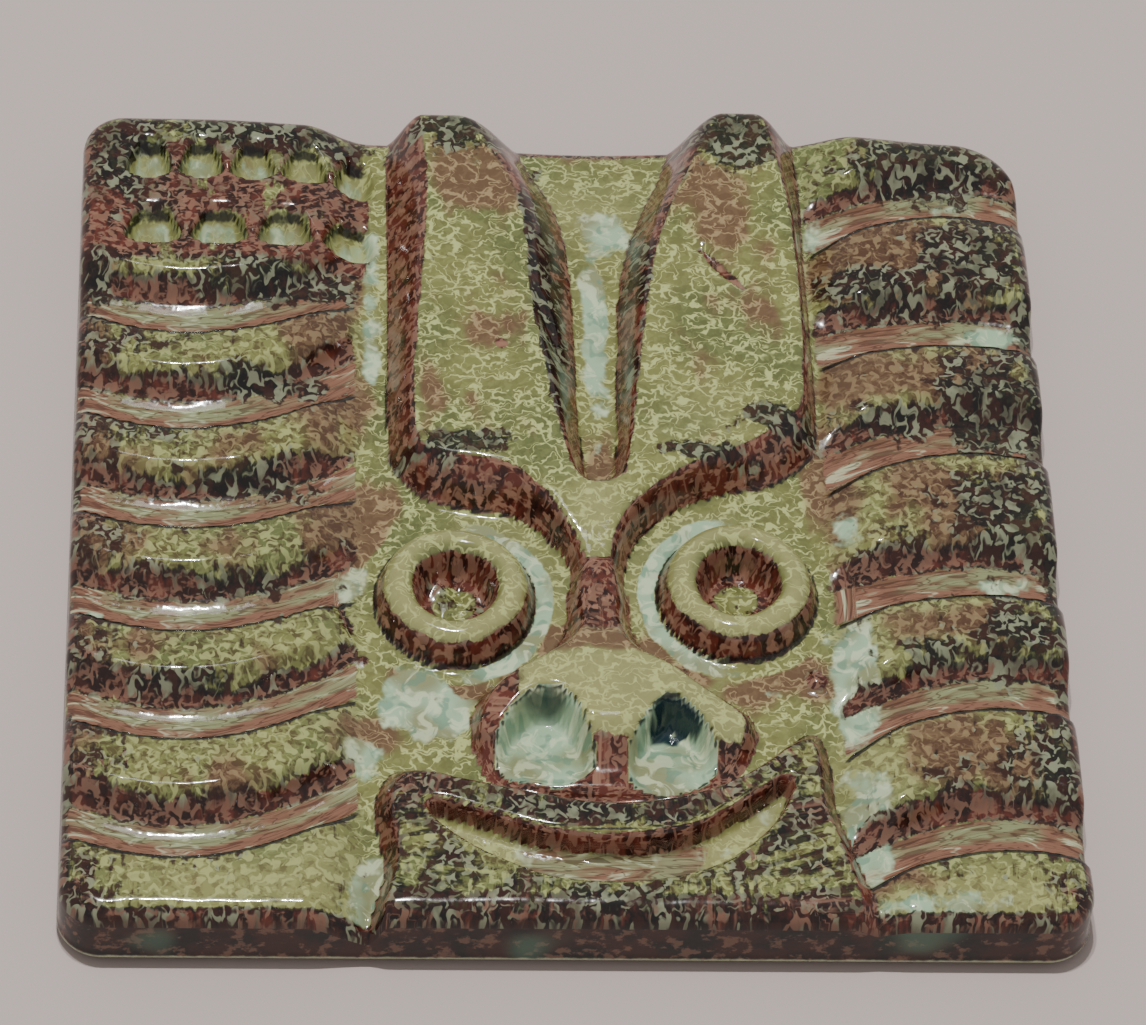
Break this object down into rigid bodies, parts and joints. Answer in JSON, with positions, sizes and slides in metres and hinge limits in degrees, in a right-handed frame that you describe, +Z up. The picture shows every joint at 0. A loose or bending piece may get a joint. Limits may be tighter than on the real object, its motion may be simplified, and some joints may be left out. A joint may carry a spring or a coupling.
{
  "type": "relief ceramic tile",
  "caption": "Square glazed relief tile with a grotesque beast's face, tall ears and ribbed manes, fixed to a wall by its flat back.",
  "frame": {"origin": "middle of the flat back face", "axes": "the relief looks along -Y and the back's normal is +Y; +X is to the right and +Z up, as the tile hangs"},
  "size_m": [0.15, 0.0174, 0.15],
  "materials": {
    "reactive_glaze": "glossy"
  },
  "bodies": {
    "root": {"relief_tile": "reactive_glaze"}
  },
  "joints": []
}
